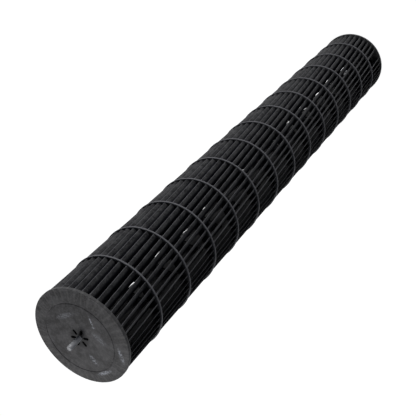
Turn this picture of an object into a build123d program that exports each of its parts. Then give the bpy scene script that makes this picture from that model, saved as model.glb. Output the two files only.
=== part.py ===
"""Cross flow fan wheel: a stack of welded blade mouldings between two end discs.

Millimetres, +Z along the axis of rotation. The wheel stands on its motor end disc at
z = 0 and the stub shaft points up. The screw access gap looks along +X.
"""

from build123d import *

import os
from math import acos, atan2, cos, hypot, pi, radians, sin

# ---------------------------------------------------------------- driving sizes
wheel_d = 100.0  # rings and end discs
section_count = 14  # blade mouldings from end to end
blade_length = 52.3  # free blade between two rings
end_blade_length = 46.0  # free blade of the last, shorter moulding
ring_t = 2.0
ring_bore_margin = 0.75  # ring material inside the blades' inner edges

blade_count = 40
blade_t = 1.3  # at the middle of the camber
blade_edge_t = 0.9  # at both edges
blade_depth = 10.5  # radial reach of the camber
blade_inset = 0.7  # rings stand proud of the blades by this
outlet_angle = 33.0  # blade against the tangent at its outer edge
camber_flats = 2  # flats that follow the camber on each side
skew_per_section = 4.65  # degrees that the blades advance from ring to ring
spacing_swing = 0.45  # degrees each way, uneven spacing against blade tone
spacing_waves = 7  # waves of uneven spacing round the wheel

shaft_disc_t = 3.3  # at the rim
rim_land = 1.5  # flat edge of the disc, from which it rises as a shallow cone
raised_height = 1.8  # flat middle above the rim
line_d = 72.6  # groove between cone and middle
line_w = 0.8
line_depth = 0.6
shaft_d = 5.0
shaft_proud = 16.0  # beyond the middle
shaft_seat = 20.0  # length held in the boss
shaft_seat_d = 4.4  # turned down there
shaft_chamfer = 0.6
boss_wall = 1.6  # material round the pockets
boss_floor = 3.0  # material under the shaft
pocket_count = 6  # cored slots round the shaft
pocket_turn = 45.0
pocket_gap = 1.3  # material between shaft and slot
pocket_length = 6.0
pocket_w = 2.8
pocket_depth = 6.0

motor_disc_t = 3.0
dish_d = 72.0  # middle of the motor end disc, set in from its rim
dish_depth = 2.0
motor_shaft_d = 8.0
insert_wall = 5.0
insert_length = 30.0
insert_chamfer = 0.8
bush_wall = 5.0
bush_length = 14.0
cup_wall = 2.5
rib_count = 8
rib_t = 2.0
rib_reach = 16.0
rib_height = 5.0

screw_d = 5.0
screw_length = 8.0
screw_gap = 0.3  # screw point clear of the motor shaft
screw_height = 24.5  # above the rim of the disc
socket_af = 2.5
socket_depth = 2.5

# ------------------------------------------------------------- worked-out sizes
wheel_r = wheel_d / 2
blade_outer_r = wheel_r - blade_inset - blade_edge_t / 2 * cos(radians(outlet_angle))
blade_inner_r = blade_outer_r - blade_depth
ring_inner_r = blade_inner_r - ring_bore_margin
section_pitch = blade_length + ring_t
skew_rate = skew_per_section / section_pitch  # degrees per millimetre of height

# camber: an arc that leaves the inner circle radially and meets the outer one at the outlet angle
camber_r = (blade_outer_r**2 - blade_inner_r**2) / (2 * blade_outer_r * cos(radians(outlet_angle)))
camber_centre = hypot(blade_inner_r, camber_r)  # distance of the arc's centre from the axis
camber_start, camber_end = (
    acos((camber_centre**2 + camber_r**2 - radius**2) / (2 * camber_centre * camber_r))
    for radius in (blade_inner_r, blade_outer_r)
)
# turn that brings the middle of a blade, as seen from the axis, onto +X
blade_lead = sum(
    atan2(camber_r * sin(turn), camber_centre - camber_r * cos(turn)) / 2
    for turn in (camber_start, camber_end)
)

last_ring_top = motor_disc_t + end_blade_length + ring_t
first_section_z = last_ring_top + (section_count - 2) * section_pitch
shaft_disc_z = first_section_z + blade_length
wheel_height = shaft_disc_z + shaft_disc_t

raised_z = wheel_height + raised_height
line_r = line_d / 2
dish_r = dish_d / 2

shaft_r = shaft_d / 2
pocket_r = shaft_r + pocket_gap + pocket_length / 2
boss_r = shaft_r + pocket_gap + pocket_length + boss_wall
insert_r = motor_shaft_d / 2 + insert_wall
bush_r = insert_r + bush_wall
cup_r = bush_r + cup_wall

access_z = motor_disc_t + screw_height  # height of the screw and of the middle of its access gap
screw_plane = Plane((0, 0, access_z), x_dir=(0, 1, 0), z_dir=(1, 0, 0))

# places of the blades round the wheel; the last moulding leaves out the first, for the screwdriver
blade_angles = [
    i * 360 / blade_count + spacing_swing * sin(radians(i * spacing_waves * 360 / blade_count))
    for i in range(blade_count)
]


def camber_point(turn, arc):
    """Point at this turn about the camber's centre, which lies on +X; turn 0 looks at the axis."""
    return (camber_centre - arc * cos(turn), -arc * sin(turn))


def blade_side(side):
    """Corners of one side of a blade from its inner edge to its outer; side is 1 for the convex one."""
    corners = []
    for i in range(camber_flats + 1):
        turn = camber_start + (camber_end - camber_start) * i / camber_flats
        half = (blade_edge_t + (blade_t - blade_edge_t) * sin(pi * i / camber_flats)) / 2
        corners.append(camber_point(turn, camber_r + side * half))
    return corners


def blade(length):
    """One blade with its tip on z = 0, drawn over sideways to follow the wheel's skew."""
    shift = (blade_inner_r + blade_outer_r) / 2 * radians(skew_rate * length)
    with BuildPart() as body:
        with BuildSketch(Plane((0, shift / 2, 0), x_dir=(cos(blade_lead), sin(blade_lead), 0))):
            with BuildLine():
                Polyline(*blade_side(1), *reversed(blade_side(-1)), close=True)
            make_face()
        extrude(amount=hypot(length, shift), dir=(0, -shift, length))
    return body.part


def turned(angles):
    """Places round the axis, one for each angle."""
    return Locations(*[Location((0, 0, 0), (0, 0, angle)) for angle in angles])


def ring_moulding(length, angles):
    """A ring and the blades that hang from it, tips on z = 0."""
    with BuildPart() as body:
        with BuildSketch(Plane.XY.offset(length)):
            Circle(wheel_r)
            Circle(ring_inner_r, mode=Mode.SUBTRACT)
        extrude(amount=ring_t)
        with turned(angles):
            add(blade(length))
    return body.part


def section_plane(z, length):
    """Where a moulding sits: tips at height z, turned so that the blades run on as one helix."""
    turn = -skew_rate * (z + length / 2 - access_z)
    return Plane.XY.offset(z).rotated((0, 0, turn))


def finish(name, body):
    """Label a finished piece and write its STEP file."""
    body.part.label = name
    export_step(body.part, f"parts/{name}.step")


os.makedirs("parts", exist_ok=True)

# ------------------------------------------------------------- motor end disc
with BuildPart() as motor_end_disc:
    with BuildSketch(Plane.XZ):
        with BuildLine():
            Polyline(
                (0, dish_depth),
                (dish_r - dish_depth, dish_depth),
                (dish_r, 0),
                (wheel_r, 0),
                (wheel_r, motor_disc_t),
                (dish_r + dish_depth, motor_disc_t),
                (dish_r, motor_disc_t + dish_depth),
                (0, motor_disc_t + dish_depth),
                close=True,
            )
        make_face()
    revolve(axis=Axis.Z)
    # ribs that brace the cup for the rubber
    with BuildSketch(Plane.XY.offset(dish_depth)):
        with PolarLocations(bush_r + rib_reach / 2, rib_count, start_angle=180 / rib_count):
            Rectangle(rib_reach, rib_t)
    extrude(amount=motor_disc_t + rib_height)
    with BuildSketch(Plane.XY.offset(dish_depth)):
        Circle(cup_r)
    extrude(amount=bush_length)
    with BuildSketch(Plane.XY.offset(dish_depth)):
        Circle(bush_r)
    extrude(amount=bush_length, mode=Mode.SUBTRACT)
finish("motor_end_disc", motor_end_disc)

# -------------------------------------------- rubber bush, hub insert and screw
with BuildPart() as rubber_bush:
    with BuildSketch(Plane.XY.offset(dish_depth)):
        Circle(bush_r)
        Circle(insert_r, mode=Mode.SUBTRACT)
    extrude(amount=bush_length)
finish("rubber_bush", rubber_bush)

with BuildPart() as hub_insert:
    with BuildSketch(Plane.XY.offset(dish_depth)):
        Circle(insert_r)
    extrude(amount=insert_length)
    chamfer(hub_insert.edges().filter_by(GeomType.CIRCLE), length=insert_chamfer)
    with BuildSketch(Plane.XY.offset(dish_depth)):
        Circle(motor_shaft_d / 2)
    extrude(amount=insert_length, mode=Mode.SUBTRACT)
    with BuildSketch(screw_plane):
        Circle(screw_d / 2)
    extrude(amount=insert_r, mode=Mode.SUBTRACT)
finish("hub_insert", hub_insert)

with BuildPart() as set_screw:
    with BuildSketch(screw_plane.offset(motor_shaft_d / 2 + screw_gap)):
        Circle(screw_d / 2)
    extrude(amount=screw_length)
    with BuildSketch(screw_plane.offset(motor_shaft_d / 2 + screw_gap + screw_length)):
        RegularPolygon(socket_af / 2, side_count=6, major_radius=False)
    extrude(amount=-socket_depth, mode=Mode.SUBTRACT)
finish("set_screw", set_screw)

# ----------------------------------------------------------- blade mouldings
last_moulding = ring_moulding(end_blade_length, blade_angles[1:])
with BuildPart(section_plane(motor_disc_t, end_blade_length)) as last_section:
    add(last_moulding)
finish(f"blade_section_{section_count:02d}", last_section)

moulding = ring_moulding(blade_length, blade_angles)
for number in range(section_count - 1, 1, -1):
    height = last_ring_top + (section_count - 1 - number) * section_pitch
    with BuildPart(section_plane(height, blade_length)) as section:
        add(moulding)
    finish(f"blade_section_{number:02d}", section)

# ------------------------------------------------- shaft end disc and its blades
with BuildPart() as shaft_end_section:
    with BuildSketch(Plane.XZ):
        with BuildLine():
            Polyline(
                (0, shaft_disc_z + raised_height),
                (blade_inner_r - 2 * raised_height, shaft_disc_z + raised_height),
                (blade_inner_r - raised_height, shaft_disc_z),
                (wheel_r, shaft_disc_z),
                (wheel_r, wheel_height),
                (wheel_r - rim_land, wheel_height),
                (line_r + line_w / 2, raised_z),
                (line_r + line_w / 2, raised_z - line_depth),
                (line_r - line_w / 2, raised_z - line_depth),
                (line_r - line_w / 2, raised_z),
                (0, raised_z),
                close=True,
            )
        make_face()
    revolve(axis=Axis.Z)
    with BuildSketch(Plane.XY.offset(raised_z)):
        Circle(boss_r)
    extrude(amount=-shaft_seat - boss_floor)
    # cored slots round the shaft
    with BuildSketch(Plane.XY.offset(raised_z)):
        with PolarLocations(pocket_r, pocket_count, start_angle=pocket_turn):
            SlotOverall(pocket_length, pocket_w)
    extrude(amount=-pocket_depth, mode=Mode.SUBTRACT)
    with BuildSketch(Plane.XY.offset(raised_z)):
        Circle(shaft_seat_d / 2)
    extrude(amount=-shaft_seat, mode=Mode.SUBTRACT)
    with Locations(section_plane(first_section_z, blade_length)):
        with turned(blade_angles):
            add(blade(blade_length))
finish("shaft_end_section", shaft_end_section)

with BuildPart() as stub_shaft:
    with BuildSketch(Plane.XY.offset(raised_z)):
        Circle(shaft_r)
    extrude(amount=shaft_proud)
    chamfer(stub_shaft.edges().filter_by(GeomType.CIRCLE).sort_by(Axis.Z)[-1], length=shaft_chamfer)
    with BuildSketch(Plane.XY.offset(raised_z)):
        Circle(shaft_seat_d / 2)
    extrude(amount=-shaft_seat)
finish("stub_shaft", stub_shaft)
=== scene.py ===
"""Cross flow fan wheel, dressed: smooth skewed blade mouldings, end discs and hub fittings."""

from math import acos, atan2, cos, hypot, pi, radians, sin

import bmesh
import bpy
from mathutils import Matrix, Vector


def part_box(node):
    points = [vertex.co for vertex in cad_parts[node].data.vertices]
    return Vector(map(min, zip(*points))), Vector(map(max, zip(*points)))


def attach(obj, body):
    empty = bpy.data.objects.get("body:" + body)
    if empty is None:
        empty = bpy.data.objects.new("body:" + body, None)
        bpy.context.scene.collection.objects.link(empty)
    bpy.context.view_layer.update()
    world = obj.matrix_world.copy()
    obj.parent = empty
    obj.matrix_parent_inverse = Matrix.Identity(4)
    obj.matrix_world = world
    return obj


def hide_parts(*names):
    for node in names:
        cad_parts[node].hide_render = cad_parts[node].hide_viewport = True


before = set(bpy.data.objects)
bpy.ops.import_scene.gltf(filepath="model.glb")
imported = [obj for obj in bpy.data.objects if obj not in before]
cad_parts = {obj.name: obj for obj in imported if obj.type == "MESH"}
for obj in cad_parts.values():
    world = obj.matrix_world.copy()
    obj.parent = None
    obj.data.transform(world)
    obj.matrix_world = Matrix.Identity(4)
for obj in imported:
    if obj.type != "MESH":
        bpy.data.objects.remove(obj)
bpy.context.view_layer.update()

MM = 0.001

# ------------------------------------------------------------- sizes, millimetres
wheel_r = 50.0
section_count = 14
section_pitch = 54.3  # from ring to ring
ring_t = 2.0
ring_bore_margin = 0.75  # ring inside the blades' inner edges
rim_round = 0.35  # on the rims of rings and discs
bore_round = 0.3
rim_steps = 160  # facets round a rim

blade_count = 40
blade_t = 1.3  # in the middle
blade_edge_t = 0.9
blade_depth = 10.5  # from the outer edge to the inner
blade_inset = 0.7  # from the rim
outlet_angle = radians(33)  # against the tangent, at the outer edge
skew_rate = 4.65 / section_pitch  # degrees round the axis per millimetre of rise
spacing_swing = 0.45  # degrees each way, uneven against blade tone
spacing_waves = 7
root_height = 8.0  # over this height below its ring a blade widens toward the rim
root_inset = 0.1  # what is left of the inset at the ring
outer_band = 2.2  # the part of a blade's section that widens
access_z = 27.5  # the screw's gap looks along +X at this height

motor_disc_t = 3.0
dish_r = 36.0  # the motor end disc's middle is set in
dish_depth = 2.0
bush_r = 14.0
cup_r = 16.5
cup_height = 14.0
rib_count = 8
rib_start = 15.2  # inside the cup's wall
rib_end = 30.0
rib_height = 5.0
rib_t = 2.0

shaft_disc_t = 3.3
rim_land = 1.5
raised_height = 1.8  # the shaft end disc rises inward to its flat middle
line_r = 36.3  # groove round the flat middle
line_w = 0.8
line_depth = 0.4
shaft_r = 2.5
shaft_proud = 16.0
shaft_sunk = 0.5  # the shaft's foot below the middle
shaft_chamfer = 0.6
shaft_boss_r = 11.4
shaft_boss_depth = 23.0
boss_lap = 0.01  # the boss reaches into the disc, so that no gap shows
slot_count = 6
slot_turn = radians(45)
slot_r = 6.8
slot_length = 6.0
slot_w = 2.8
slot_depth = 6.0
slot_draft = 0.92  # width at the bottom, as a share of the width at the top

raised_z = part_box("shaft_end_section")[1].z / MM
rim_z = raised_z - raised_height
shaft_disc_z = rim_z - shaft_disc_t

# a blade's section is an arc that meets the wheel's inner circle square on
blade_outer_r = wheel_r - blade_inset - blade_edge_t / 2 * cos(outlet_angle)
blade_inner_r = blade_outer_r - blade_depth
ring_inner_r = blade_inner_r - ring_bore_margin
camber_r = (blade_outer_r**2 - blade_inner_r**2) / (2 * blade_outer_r * cos(outlet_angle))
camber_centre = hypot(blade_inner_r, camber_r)
camber_start, camber_end = (
    acos((camber_centre**2 + camber_r**2 - r**2) / (2 * camber_centre * camber_r))
    for r in (blade_inner_r, blade_outer_r)
)
blade_lead = sum(
    atan2(camber_r * sin(t), camber_centre - camber_r * cos(t)) / 2
    for t in (camber_start, camber_end)
)
blade_angles = [
    radians(
        i * 360 / blade_count + spacing_swing * sin(radians(i * spacing_waves * 360 / blade_count))
    )
    for i in range(blade_count)
]


# ---------------------------------------------------------------------- materials
def linear(hex_value, alpha=1.0):
    """sRGB hex colour as the linear values that the shaders take."""
    parts = [int(hex_value[i : i + 2], 16) / 255 for i in (1, 3, 5)]
    return (*[p / 12.92 if p <= 0.04045 else ((p + 0.055) / 1.055) ** 2.4 for p in parts], alpha)


def add_node(tree, kind, links=None, **settings):
    """Add a node; links gives each input a value or the socket that feeds it."""
    node = tree.nodes.new("ShaderNode" + kind)
    for name, value in settings.items():
        setattr(node, name, value)
    for name, value in (links or {}).items():
        if isinstance(value, bpy.types.NodeSocket):
            tree.links.new(value, node.inputs[name])
        else:
            node.inputs[name].default_value = value
    return node


def new_material(name):
    """An empty material with its output, a principled shader and object coordinates in metres."""
    material = bpy.data.materials.new(name)
    material.use_nodes = True
    tree = material.node_tree
    tree.nodes.clear()
    shader = add_node(tree, "BsdfPrincipled")
    add_node(tree, "OutputMaterial", {"Surface": shader.outputs[0]})
    coords = add_node(tree, "TexCoord").outputs["Object"]
    return material, tree, shader, coords


def grain(size_mm):
    """Texture scale for features of this size, on coordinates in metres."""
    return 1 / (size_mm * MM)


def resin(name, dark, pale, rim_highlight_colour, roughness, specular):
    """Glass-filled AS resin, injection moulded in black: satin, with soft flow clouds and handling
    dust, and a painted highlight that makes the wheel's rims paler."""
    material, tree, shader, coords = new_material(name)
    clouds = add_node(tree, "TexNoise", {"Vector": coords, "Scale": grain(9), "Detail": 4.0})
    clouds = add_node(
        tree, "MapRange", {0: clouds.outputs[0], 1: 0.36, 2: 0.64}, interpolation_type="SMOOTHSTEP"
    ).outputs[0]
    dust = add_node(
        tree, "TexNoise", {"Vector": coords, "Scale": grain(2.2), "Detail": 4.0, "Roughness": 0.7}
    ).outputs[0]
    dusted = add_node(
        tree, "MapRange", {0: dust, 1: 0.42, 2: 0.68}, interpolation_type="SMOOTHSTEP"
    ).outputs[0]
    shade = add_node(tree, "Math", {0: clouds, 1: 0.45}, operation="MULTIPLY").outputs[0]
    shade = add_node(
        tree, "Math", {0: dusted, 1: 0.55, 2: shade}, operation="MULTIPLY_ADD"
    ).outputs[0]
    body = add_node(
        tree, "Mix", {"Factor": shade, 6: linear(dark), 7: linear(pale)}, data_type="RGBA"
    ).outputs[2]

    # distance from the axis, in metres: the last half millimetre of the rims is painted paler as a
    # highlight
    flat = add_node(tree, "VectorMath", {0: coords, 1: (1, 1, 0)}, operation="MULTIPLY").outputs[0]
    radius = add_node(tree, "VectorMath", {0: flat}, operation="LENGTH").outputs["Value"]
    rim_highlight = add_node(
        tree,
        "MapRange",
        {0: radius, 1: 0.0495, 2: 0.0499, 4: 0.8},
        interpolation_type="SMOOTHSTEP",
    ).outputs[0]
    colour = add_node(
        tree, "Mix", {"Factor": rim_highlight, 6: body, 7: linear(rim_highlight_colour)}, data_type="RGBA"
    ).outputs[2]
    tree.links.new(colour, shader.inputs["Base Color"])

    gloss = add_node(tree, "MapRange", {0: dust, 3: roughness - 0.08, 4: roughness + 0.1})
    tree.links.new(gloss.outputs[0], shader.inputs["Roughness"])
    shader.inputs["IOR"].default_value = 1.55
    shader.inputs["Specular IOR Level"].default_value = specular
    # the real skin is as fine as 0.1 mm, drawn coarser so that it shows
    skin = add_node(tree, "TexNoise", {"Vector": coords, "Scale": grain(0.9), "Detail": 2.0})
    bump = add_node(
        tree, "Bump", {"Strength": 0.25, "Distance": 0.00012, "Height": skin.outputs[0]}
    )
    tree.links.new(bump.outputs[0], shader.inputs["Normal"])
    return material, tree, shader, coords, radius, colour


def blade_resin():
    """The same resin on the blades: grey with dust toward their outer edges, with a painted
    highlight along those edges, and painted shade in blue-black deep between them."""
    material, tree, shader, _, radius, colour = resin(
        "black_AS_resin_blades", "#19191b", "#464647", "#4c4c4e", 0.5, 0.06
    )
    # painted shade: blue-black deep between the blades, the resin's own colour toward their outer
    # edges
    outer = add_node(
        tree, "MapRange", {0: radius, 1: 0.0455, 2: 0.048}, interpolation_type="SMOOTHSTEP"
    ).outputs[0]
    dust_and_deep_shade = add_node(
        tree, "Mix", {"Factor": outer, 6: linear("#121318"), 7: colour}, data_type="RGBA"
    ).outputs[2]
    # painted highlight along the blades' outer edges
    edge = add_node(
        tree,
        "MapRange",
        {0: radius, 1: 0.0487, 2: 0.0491, 4: 0.5},
        interpolation_type="SMOOTHSTEP",
    ).outputs[0]
    tip_highlighted = add_node(
        tree, "Mix", {"Factor": edge, 6: dust_and_deep_shade, 7: linear("#66666a")}, data_type="RGBA"
    ).outputs[2]
    tree.links.new(tip_highlighted, shader.inputs["Base Color"])
    return material


# scuffs on the shaft end disc: place, turn in degrees, half length, half width, strength
scuffs = [
    (-3, 24, 4, 13, 3, 0.55),
    (23.2, 14.5, 82, 6.5, 1.1, 1.2),
    (22.1, 8.2, 0, 1.6, 1.3, 3.0),
    (22, -4, -60, 11, 4, 0.4),
    (2, -24, -75, 8, 3, 0.7),
    (35, -24, 75, 11, 2.4, 0.9),
    (6, -38.8, 8, 10, 2.4, 2.2),
]


def disc_resin():
    """The same resin on the broad face of the shaft end disc: paler with dust, the blades behind it
    show as faint spokes, painted shade darkens it round the shaft, and handling has scuffed it."""
    material, tree, shader, coords, radius, colour = resin(
        "black_AS_resin_disc", "#272627", "#585758", "#3c3c3d", 0.55, 0.1
    )
    # one faint spoke to a blade, broken up and only outside the groove
    patches = add_node(
        tree, "TexNoise", {"Vector": coords, "Scale": grain(5), "Detail": 4.0}
    ).outputs[0]
    turn = add_node(tree, "TexGradient", {"Vector": coords}, gradient_type="RADIAL").outputs[1]
    wave = add_node(
        tree, "Math", {0: turn, 1: 2 * pi * blade_count}, operation="MULTIPLY"
    ).outputs[0]
    spoke = add_node(tree, "Math", {0: wave}, operation="SINE").outputs[0]
    spoke = add_node(tree, "Math", {0: spoke, 1: patches}, operation="MULTIPLY").outputs[0]
    spoke = add_node(
        tree, "MapRange", {0: spoke, 1: 0.15, 2: 0.6, 4: 0.3}, interpolation_type="SMOOTHSTEP"
    ).outputs[0]
    outer = add_node(
        tree, "MapRange", {0: radius, 1: 0.0385, 2: 0.0395}, interpolation_type="SMOOTHSTEP"
    ).outputs[0]
    spoke = add_node(tree, "Math", {0: spoke, 1: outer}, operation="MULTIPLY").outputs[0]
    colour = add_node(
        tree, "Mix", {"Factor": spoke, 6: colour, 7: linear("#6b6a69")}, data_type="RGBA"
    ).outputs[2]

    # painted shade round the shaft's foot, darkest close in, where the shaft and its slots shade
    # the disc
    shaft_foot_shade = add_node(
        tree,
        "MapRange",
        {0: radius, 1: 0.0125, 2: 0.0075, 4: 0.85},
        interpolation_type="SMOOTHSTEP",
    ).outputs[0]
    colour = add_node(
        tree, "Mix", {"Factor": shaft_foot_shade, 6: colour, 7: linear("#131315")}, data_type="RGBA"
    ).outputs[2]

    # each scuff is an ellipse that fades outward, and all of them are broken up into specks
    specks = add_node(
        tree, "TexNoise", {"Vector": coords, "Scale": grain(1.6), "Detail": 3.0}
    ).outputs[0]
    specks = add_node(tree, "MapRange", {0: specks, 1: 0.47, 2: 0.57, 3: 0.1}).outputs[0]
    scuffed = 0.0
    for x, y, turned, length, width, strength in scuffs:
        spot = add_node(
            tree,
            "Mapping",
            {
                "Vector": coords,
                "Location": (x * MM, y * MM, 0),
                "Rotation": (0, 0, radians(turned)),
                "Scale": (length * MM, width * MM, 1000),
            },
            vector_type="TEXTURE",
        ).outputs[0]
        away = add_node(tree, "VectorMath", {0: spot}, operation="LENGTH").outputs["Value"]
        near = add_node(tree, "MapRange", {0: away, 1: 1.0, 2: 0.4, 4: strength}).outputs[0]
        scuffed = add_node(tree, "Math", {0: near, 1: scuffed}, operation="MAXIMUM").outputs[0]
    scuffed = add_node(
        tree, "Math", {0: scuffed, 1: specks}, operation="MULTIPLY", use_clamp=True
    ).outputs[0]
    colour = add_node(
        tree, "Mix", {"Factor": scuffed, 6: colour, 7: linear("#a0a2a8")}, data_type="RGBA"
    ).outputs[2]
    tree.links.new(colour, shader.inputs["Base Color"])
    return material


def ground_steel():
    """Ground carbon steel bar: soft grey from handling, with fine rings from the grinding wheel."""
    material, tree, shader, coords = new_material("ground_steel")
    # real rings are about 0.05 mm apart, drawn coarser so that they show
    stretched = add_node(tree, "Mapping", {"Vector": coords, "Scale": (0.15, 0.15, 1.0)})
    rings = add_node(
        tree,
        "TexNoise",
        {"Vector": stretched.outputs[0], "Scale": grain(0.25), "Detail": 2.0},
    ).outputs[0]
    smears = add_node(
        tree, "TexNoise", {"Vector": coords, "Scale": grain(3.0), "Detail": 3.0}
    ).outputs[0]
    tone = add_node(
        tree,
        "Mix",
        {"Factor": smears, 6: linear("#77797d"), 7: linear("#a2a2a3")},
        data_type="RGBA",
    )
    tree.links.new(tone.outputs[2], shader.inputs["Base Color"])
    shader.inputs["Metallic"].default_value = 0.1
    shader.inputs["Specular IOR Level"].default_value = 0.2
    gloss = add_node(tree, "MapRange", {0: rings, 3: 0.35, 4: 0.5})
    tree.links.new(gloss.outputs[0], shader.inputs["Roughness"])
    bump = add_node(tree, "Bump", {"Strength": 0.3, "Distance": 0.00003, "Height": rings})
    tree.links.new(bump.outputs[0], shader.inputs["Normal"])
    return material


def turned_alloy():
    """Turned aluminium: soft grey metal with fine tool rings."""
    material, tree, shader, coords = new_material("turned_aluminium")
    # real tool rings are about 0.1 mm apart, drawn coarser so that they show
    stretched = add_node(tree, "Mapping", {"Vector": coords, "Scale": (0.1, 0.1, 1.0)})
    rings = add_node(
        tree,
        "TexNoise",
        {"Vector": stretched.outputs[0], "Scale": grain(0.35), "Detail": 2.0},
    ).outputs[0]
    haze = add_node(
        tree, "TexNoise", {"Vector": coords, "Scale": grain(4.0), "Detail": 3.0}
    ).outputs[0]
    tone = add_node(
        tree,
        "Mix",
        {"Factor": haze, 6: linear("#a3a5a8"), 7: linear("#cfd0d2")},
        data_type="RGBA",
    )
    tree.links.new(tone.outputs[2], shader.inputs["Base Color"])
    shader.inputs["Metallic"].default_value = 1.0
    gloss = add_node(tree, "MapRange", {0: rings, 3: 0.3, 4: 0.5})
    tree.links.new(gloss.outputs[0], shader.inputs["Roughness"])
    bump = add_node(tree, "Bump", {"Strength": 0.3, "Distance": 0.00004, "Height": rings})
    tree.links.new(bump.outputs[0], shader.inputs["Normal"])
    return material


def bush_rubber():
    """Moulded nitrile rubber: matt black with a bloom of grey dust."""
    material, tree, shader, coords = new_material("nitrile_rubber")
    bloom = add_node(
        tree, "TexNoise", {"Vector": coords, "Scale": grain(3.0), "Detail": 5.0}
    ).outputs[0]
    tone = add_node(
        tree,
        "Mix",
        {"Factor": bloom, 6: linear("#161616"), 7: linear("#2f2e2d")},
        data_type="RGBA",
    )
    tree.links.new(tone.outputs[2], shader.inputs["Base Color"])
    gloss = add_node(tree, "MapRange", {0: bloom, 3: 0.7, 4: 0.9})
    tree.links.new(gloss.outputs[0], shader.inputs["Roughness"])
    bump = add_node(tree, "Bump", {"Strength": 0.4, "Distance": 0.0001, "Height": bloom})
    tree.links.new(bump.outputs[0], shader.inputs["Normal"])
    return material


def oxide_steel():
    """Black-oxide screw steel: dark blue-grey metal with a slightly oily sheen."""
    material, tree, shader, coords = new_material("black_oxide_steel")
    patches = add_node(
        tree, "TexNoise", {"Vector": coords, "Scale": grain(1.0), "Detail": 4.0}
    ).outputs[0]
    tone = add_node(
        tree,
        "Mix",
        {"Factor": patches, 6: linear("#25272b"), 7: linear("#4a4b4f")},
        data_type="RGBA",
    )
    tree.links.new(tone.outputs[2], shader.inputs["Base Color"])
    shader.inputs["Metallic"].default_value = 1.0
    gloss = add_node(tree, "MapRange", {0: patches, 3: 0.3, 4: 0.5})
    tree.links.new(gloss.outputs[0], shader.inputs["Roughness"])
    return material


blade_material = blade_resin()
# the end discs' resin; its third colour is the rims' painted highlight
end_material = resin("black_AS_resin_end", "#262627", "#3a3a3b", "#4c4c4e", 0.5, 0.1)[0]
disc_material = disc_resin()


# ------------------------------------------------------------------------- pieces
def about_axis(angle):
    """A turn about the wheel's axis, in radians."""
    return Matrix.Rotation(angle, 3, "Z")


def mesh_object(name, bm):
    """Put a finished bmesh into the scene as an object."""
    mesh = bpy.data.meshes.new(name)
    bm.to_mesh(mesh)
    bm.free()
    made = bpy.data.objects.new(name, mesh)
    bpy.context.scene.collection.objects.link(made)
    return made


def smooth(mesh, crease):
    """Smooth shading, but for edges that turn by more than this many degrees."""
    mesh.shade_smooth()
    mesh.set_sharp_from_angle(angle=radians(crease))


def close_shell(bm):
    """Merge the seam and poles of one closed shell and turn its faces outward."""
    bmesh.ops.remove_doubles(bm, verts=bm.verts, dist=0.001)
    bmesh.ops.recalc_face_normals(bm, faces=bm.faces)
    if bm.calc_volume(signed=True) < 0:
        bmesh.ops.reverse_faces(bm, faces=bm.faces)


def piece(name, bm, material, nodes, crease=35):
    """Turn a bmesh in millimetres into a finished piece in metres that stands for CAD nodes."""
    bmesh.ops.scale(bm, verts=bm.verts, vec=(MM, MM, MM))
    made = mesh_object(name, bm)
    smooth(made.data, crease)
    made.data.materials.append(material)
    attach(made, "root")
    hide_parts(*nodes)
    return made


def turned_shape(corners, rounds, steps):
    """Spin a half section about the axis; rounds gives the radius at each corner, 0 for none."""
    bm = bmesh.new()
    outline = [bm.verts.new((r, 0, z)) for r, z in corners]
    bm.faces.new(outline)
    for vert, size in zip(outline, rounds):
        if size:
            bmesh.ops.bevel(
                bm,
                geom=[vert],
                affect="VERTICES",
                offset=size,
                segments=3,
                profile=0.5,
                material=-1,
            )
    # only the outline is spun, without its edge along the axis
    bmesh.ops.delete(bm, geom=bm.faces[:], context="FACES_ONLY")
    axis_edges = [e for e in bm.edges if all(abs(v.co.x) < 1e-6 for v in e.verts)]
    bmesh.ops.delete(bm, geom=axis_edges, context="EDGES")
    bmesh.ops.spin(
        bm,
        geom=bm.edges[:] + bm.verts[:],
        cent=(0, 0, 0),
        axis=(0, 0, 1),
        angle=2 * pi,
        steps=steps,
        use_merge=True,
    )
    close_shell(bm)
    return bm


def camber_point(turn, arc_r):
    """Point of a blade section, in the wheel's frame with the blade's middle on +X."""
    return about_axis(blade_lead) @ Vector(
        (camber_centre - arc_r * cos(turn), -arc_r * sin(turn), 0)
    )


def blade_profile():
    """Outline of a blade: two cambered sides with rounded inner and outer edges."""
    stations = 4
    tip_inset = 0.018  # the sides stop short of the tips by this share of the arc
    tip_taper = 0.7
    sides = {1: [], -1: []}
    for side in sides:
        for i in range(stations + 1):
            at_tip = i in (0, stations)
            t = i / stations
            inset = tip_inset * (1 - 2 * t) if at_tip else 0
            turn = camber_start + (camber_end - camber_start) * (t + inset)
            half = (blade_edge_t + (blade_t - blade_edge_t) * sin(pi * t)) / 2
            if at_tip:
                half *= tip_taper
            sides[side].append(camber_point(turn, camber_r + side * half))
    tips = [camber_point(turn, camber_r) for turn in (camber_start, camber_end)]
    return [tips[0], *sides[1], tips[1], *reversed(sides[-1])]


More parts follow.
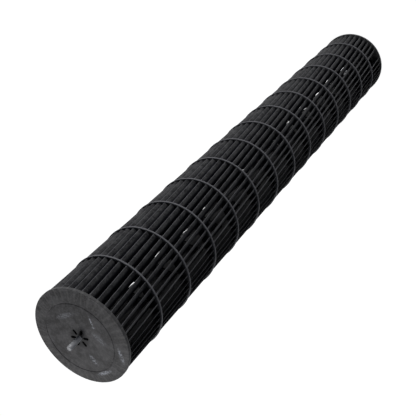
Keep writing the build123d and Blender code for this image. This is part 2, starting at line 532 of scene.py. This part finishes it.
def blade_row(length, angles):
    """Blades with their tips on z = 0, spun a few degrees round the axis as they rise."""
    bm = bmesh.new()
    verts = [bm.verts.new(p) for p in blade_profile()]
    end = [bm.faces.new(verts)]
    half_twist = radians(skew_rate * length / 2)
    bmesh.ops.rotate(bm, verts=verts, cent=(0, 0, 0), matrix=about_axis(half_twist))
    for rise, steps in ((length - root_height, 3), (root_height, 2)):
        made = bmesh.ops.spin(
            bm,
            geom=end,
            cent=(0, 0, 0),
            axis=(0, 0, 1),
            dvec=(0, 0, rise / steps),
            angle=-radians(skew_rate * rise),
            steps=steps,
            use_duplicate=False,
        )
        end = [g for g in made["geom_last"] if isinstance(g, bmesh.types.BMFace)]
    for vert in end[0].verts:
        reach = vert.co.xy.length
        if reach > wheel_r - outer_band:
            widen = 1 + (blade_inset - root_inset) / reach
            vert.co.x *= widen
            vert.co.y *= widen
    # the second spin leaves the end of the first inside the blade
    inside = [f for f in bm.faces if all(len(e.link_faces) > 2 for e in f.edges)]
    bmesh.ops.delete(bm, geom=inside, context="FACES_ONLY")
    close_shell(bm)

    pattern = bm.verts[:]
    blade = pattern + bm.edges[:] + bm.faces[:]
    for angle in angles:
        made = bmesh.ops.duplicate(bm, geom=blade)["geom"]
        verts = [g for g in made if isinstance(g, bmesh.types.BMVert)]
        bmesh.ops.rotate(bm, verts=verts, cent=(0, 0, 0), matrix=about_axis(angle))
    bmesh.ops.delete(bm, geom=pattern, context="VERTS")
    return bm


def ring_moulding(length, angles):
    """A ring with the blades that hang from it, tips on z = 0."""
    ring = turned_shape(
        [
            (ring_inner_r, length),
            (wheel_r, length),
            (wheel_r, length + ring_t),
            (ring_inner_r, length + ring_t),
        ],
        [bore_round, rim_round, rim_round, bore_round],
        rim_steps,
    )
    ring_mesh = bpy.data.meshes.new("ring")
    ring.to_mesh(ring_mesh)
    ring.free()
    bm = blade_row(length, angles)
    bm.from_mesh(ring_mesh)
    bpy.data.meshes.remove(ring_mesh)
    return bm


def place(bm, z, length):
    """Lift a moulding and turn it so that its blades run on from the moulding below."""
    turn = radians(-skew_rate * (z + length / 2 - access_z))
    bmesh.ops.rotate(bm, verts=bm.verts, cent=(0, 0, 0), matrix=about_axis(turn))
    bmesh.ops.translate(bm, verts=bm.verts, vec=(0, 0, z))


# the shorter moulding at the motor end has no first blade, which leaves the screw's gap
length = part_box("blade_section_14")[1].z / MM - ring_t - motor_disc_t
bm = ring_moulding(length, blade_angles[1:])
place(bm, motor_disc_t, length)
piece("ring_moulding_14", bm, blade_material, ["blade_section_14"])

full = None
for number in range(section_count - 1, 1, -1):
    node = f"blade_section_{number:02d}"
    low, high = (corner.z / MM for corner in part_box(node))
    length = high - low - ring_t
    if full is None:
        full = ring_moulding(length, blade_angles)
    bm = full.copy()
    place(bm, low, length)
    piece(f"ring_moulding_{number:02d}", bm, blade_material, [node])

# blades under the shaft end disc
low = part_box("shaft_end_section")[0].z / MM
length = shaft_disc_z - low
bm = blade_row(length, blade_angles)
place(bm, low, length)
piece("shaft_end_blades", bm, blade_material, ["shaft_end_section"])

disc_crease = 20  # the cone stays crisp against the flats
disc = piece(
    "shaft_end_disc",
    turned_shape(
        [
            (0, shaft_disc_z + raised_height),
            (blade_inner_r - 2 * raised_height, shaft_disc_z + raised_height),
            (blade_inner_r - raised_height, shaft_disc_z),
            (wheel_r, shaft_disc_z),
            (wheel_r, rim_z),
            (wheel_r - rim_land, rim_z),
            (line_r + line_w / 2, raised_z),
            (line_r + line_w / 2, raised_z - line_depth),
            (line_r - line_w / 2, raised_z - line_depth),
            (line_r - line_w / 2, raised_z),
            (0, raised_z),
        ],
        [0, 0.5, 0.5, rim_round, 0.45, 0.8, 0.25, 0.15, 0.15, 0.25, 0],
        rim_steps,
    ),
    disc_material,
    ["shaft_end_section"],
    disc_crease,
)
boss = piece(
    "shaft_boss",
    turned_shape(
        [
            (0, raised_z - shaft_boss_depth),
            (shaft_boss_r, raised_z - shaft_boss_depth),
            (shaft_boss_r, raised_z - shaft_disc_t + boss_lap),
            (0, raised_z - shaft_disc_t + boss_lap),
        ],
        [0, 0.8, 0, 0],
        64,
    ),
    disc_material,
    ["shaft_end_section"],
)


def slot_cutter():
    """Round-ended bars that core the slots round the shaft."""
    above = 1.0  # the bars stand out of the disc by half of this
    bm = bmesh.new()
    for i in range(slot_count):
        bar = bmesh.ops.create_cone(
            bm,
            cap_ends=True,
            segments=16,
            radius1=slot_w / 2 * slot_draft,
            radius2=slot_w / 2,
            depth=slot_depth + above,
        )["verts"]
        stretch = (slot_length - slot_w) / 2
        for vert in bar:
            if abs(vert.co.x) > 0.01:
                vert.co.x += stretch if vert.co.x > 0 else -stretch
        middle_z = raised_z - slot_depth / 2 + above / 2
        bmesh.ops.translate(bm, verts=bar, vec=(slot_r, 0, middle_z))
        turn = slot_turn + i * 2 * pi / slot_count
        bmesh.ops.rotate(bm, verts=bar, cent=(0, 0, 0), matrix=about_axis(turn))
    bmesh.ops.scale(bm, verts=bm.verts, vec=(MM, MM, MM))
    return mesh_object("slot_cutter", bm)


def cut(target, cutter):
    """Cut one object from another for good."""
    step = target.modifiers.new("cut", "BOOLEAN")
    step.object, step.operation, step.solver = cutter, "DIFFERENCE", "EXACT"
    depsgraph = bpy.context.evaluated_depsgraph_get()
    mesh = bpy.data.meshes.new_from_object(target.evaluated_get(depsgraph))
    target.modifiers.clear()
    target.data = mesh
    smooth(mesh, disc_crease)


cutter = slot_cutter()
bpy.context.view_layer.update()
cut(disc, cutter)
cut(boss, cutter)
bpy.data.objects.remove(cutter)

piece(
    "steel_stub_shaft",
    turned_shape(
        [
            (0, raised_z - shaft_sunk),
            (shaft_r, raised_z - shaft_sunk),
            (shaft_r, raised_z + shaft_proud - shaft_chamfer),
            (shaft_r - shaft_chamfer, raised_z + shaft_proud),
            (0, raised_z + shaft_proud),
        ],
        [0, 0, 0.15, 0.15, 0],
        48,
    ),
    ground_steel(),
    ["stub_shaft"],
)

# motor end disc with its cup and ribs
plate_z = dish_depth + motor_disc_t
piece(
    "motor_end_plate",
    turned_shape(
        [
            (bush_r, dish_depth),
            (dish_r - dish_depth, dish_depth),
            (dish_r, 0),
            (wheel_r, 0),
            (wheel_r, motor_disc_t),
            (dish_r + dish_depth, motor_disc_t),
            (dish_r, plate_z),
            (cup_r, plate_z),
            (cup_r, dish_depth + cup_height),
            (bush_r, dish_depth + cup_height),
        ],
        [0, 0.5, 0.5, rim_round, rim_round, 0.6, 0.6, 0.8, 0.4, bore_round],
        rim_steps,
    ),
    end_material,
    ["motor_end_disc"],
)

bm = bmesh.new()
bmesh.ops.create_cube(bm, size=1)
bmesh.ops.scale(bm, verts=bm.verts, vec=(rib_end - rib_start, rib_t, rib_height))
rib_middle = ((rib_start + rib_end) / 2, 0, plate_z + rib_height / 2)
bmesh.ops.translate(bm, verts=bm.verts, vec=rib_middle)
top = [e for e in bm.edges if all(v.co.z > rib_middle[2] for v in e.verts)]
bmesh.ops.bevel(
    bm, geom=top, affect="EDGES", offset=0.4, segments=2, profile=0.5, material=-1
)
close_shell(bm)
bmesh.ops.rotate(bm, verts=bm.verts, cent=(0, 0, 0), matrix=about_axis(pi / rib_count))
bmesh.ops.spin(
    bm,
    geom=bm.verts[:] + bm.edges[:] + bm.faces[:],
    cent=(0, 0, 0),
    axis=(0, 0, 1),
    angle=2 * pi * (1 - 1 / rib_count),
    steps=rib_count - 1,
    use_duplicate=True,
)
piece("motor_end_ribs", bm, end_material, ["motor_end_disc"], 30)

# the hub's fittings keep their CAD shapes
for node, material in (
    ("rubber_bush", bush_rubber()),
    ("hub_insert", turned_alloy()),
    ("set_screw", oxide_steel()),
):
    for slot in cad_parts[node].material_slots:
        slot.material = material


# ------------------------------------------------------------------- floor and light
def seen_white(tree):
    """1 for the rays that see floor and world as a white background, 0 for the rays that light."""
    rays = add_node(tree, "LightPath").outputs
    seen = add_node(
        tree, "Math", {0: rays["Is Camera Ray"], 1: rays["Is Glossy Ray"]}, operation="MAXIMUM"
    ).outputs[0]
    return add_node(
        tree, "Math", {0: seen, 1: rays["Is Transmission Ray"]}, operation="MAXIMUM"
    ).outputs[0]


bm = bmesh.new()
bmesh.ops.create_grid(bm, x_segments=1, y_segments=1, size=5)
floor = mesh_object("floor", bm)

floor_material = bpy.data.materials.new("pale_floor")
floor_material.use_nodes = True
tree = floor_material.node_tree
tree.nodes.clear()
paint = add_node(tree, "BsdfDiffuse", {"Color": linear("#a5a5a5")}).outputs[0]
level = add_node(tree, "Math", {0: seen_white(tree), 1: 0.9}, operation="MULTIPLY").outputs[0]
glow = add_node(tree, "Emission", {"Color": (1, 1, 1, 1), "Strength": level}).outputs[0]
both = add_node(tree, "AddShader", {0: paint, 1: glow}).outputs[0]
add_node(tree, "OutputMaterial", {"Surface": both})
floor.data.materials.append(floor_material)

world = bpy.data.worlds.new("studio")
bpy.context.scene.world = world
world.use_nodes = True
tree = world.node_tree
tree.nodes.clear()
sky = add_node(
    tree,
    "Mix",
    {"Factor": seen_white(tree), 6: (0.035, 0.045, 0.065, 1), 7: (1, 1, 1, 1)},
    data_type="RGBA",
).outputs[2]
background = add_node(tree, "Background", {"Color": sky}).outputs[0]
add_node(tree, "OutputWorld", {"Surface": background})


def softbox(name, place_at, aim, size, watts):
    """A square studio softbox, in metres."""
    lamp = bpy.data.lights.new(name, "AREA")
    lamp.shape, lamp.size, lamp.energy = "SQUARE", size, watts
    made = bpy.data.objects.new(name, lamp)
    made.location = place_at
    made.rotation_mode = "QUATERNION"
    made.rotation_quaternion = (Vector(aim) - Vector(place_at)).to_track_quat("-Z", "Y")
    bpy.context.scene.collection.objects.link(made)


softbox("key_softbox", (0.28, 1.6, 0.4), (0, 0, 0.5), 0.35, 22)
softbox("window_softbox", (-0.75, -0.75, 2.1), (0, 0, 0.75), 0.45, 16.5)
softbox("fill_softbox", (1.5, -0.7, 1.25), (0, 0, 0.6), 0.5, 6)

# ------------------------------------------------------------------------- camera
lens = bpy.data.cameras.new("camera")
lens.lens, lens.sensor_width = 66.11, 36
camera = bpy.data.objects.new("camera", lens)
right = Vector((0.78906, -0.41016, -0.45734))
up = Vector((0.18457, 0.86835, -0.46032))
facing = Matrix((right, up, right.cross(up))).transposed().to_4x4()
# it stands off from the middle of the shaft end disc's rim
camera.matrix_world = Matrix.Translation((0.50333, 0.24015, rim_z * MM + 0.40835)) @ facing
bpy.context.scene.collection.objects.link(camera)
bpy.context.scene.camera = camera
bpy.context.scene.view_settings.view_transform = "Standard"
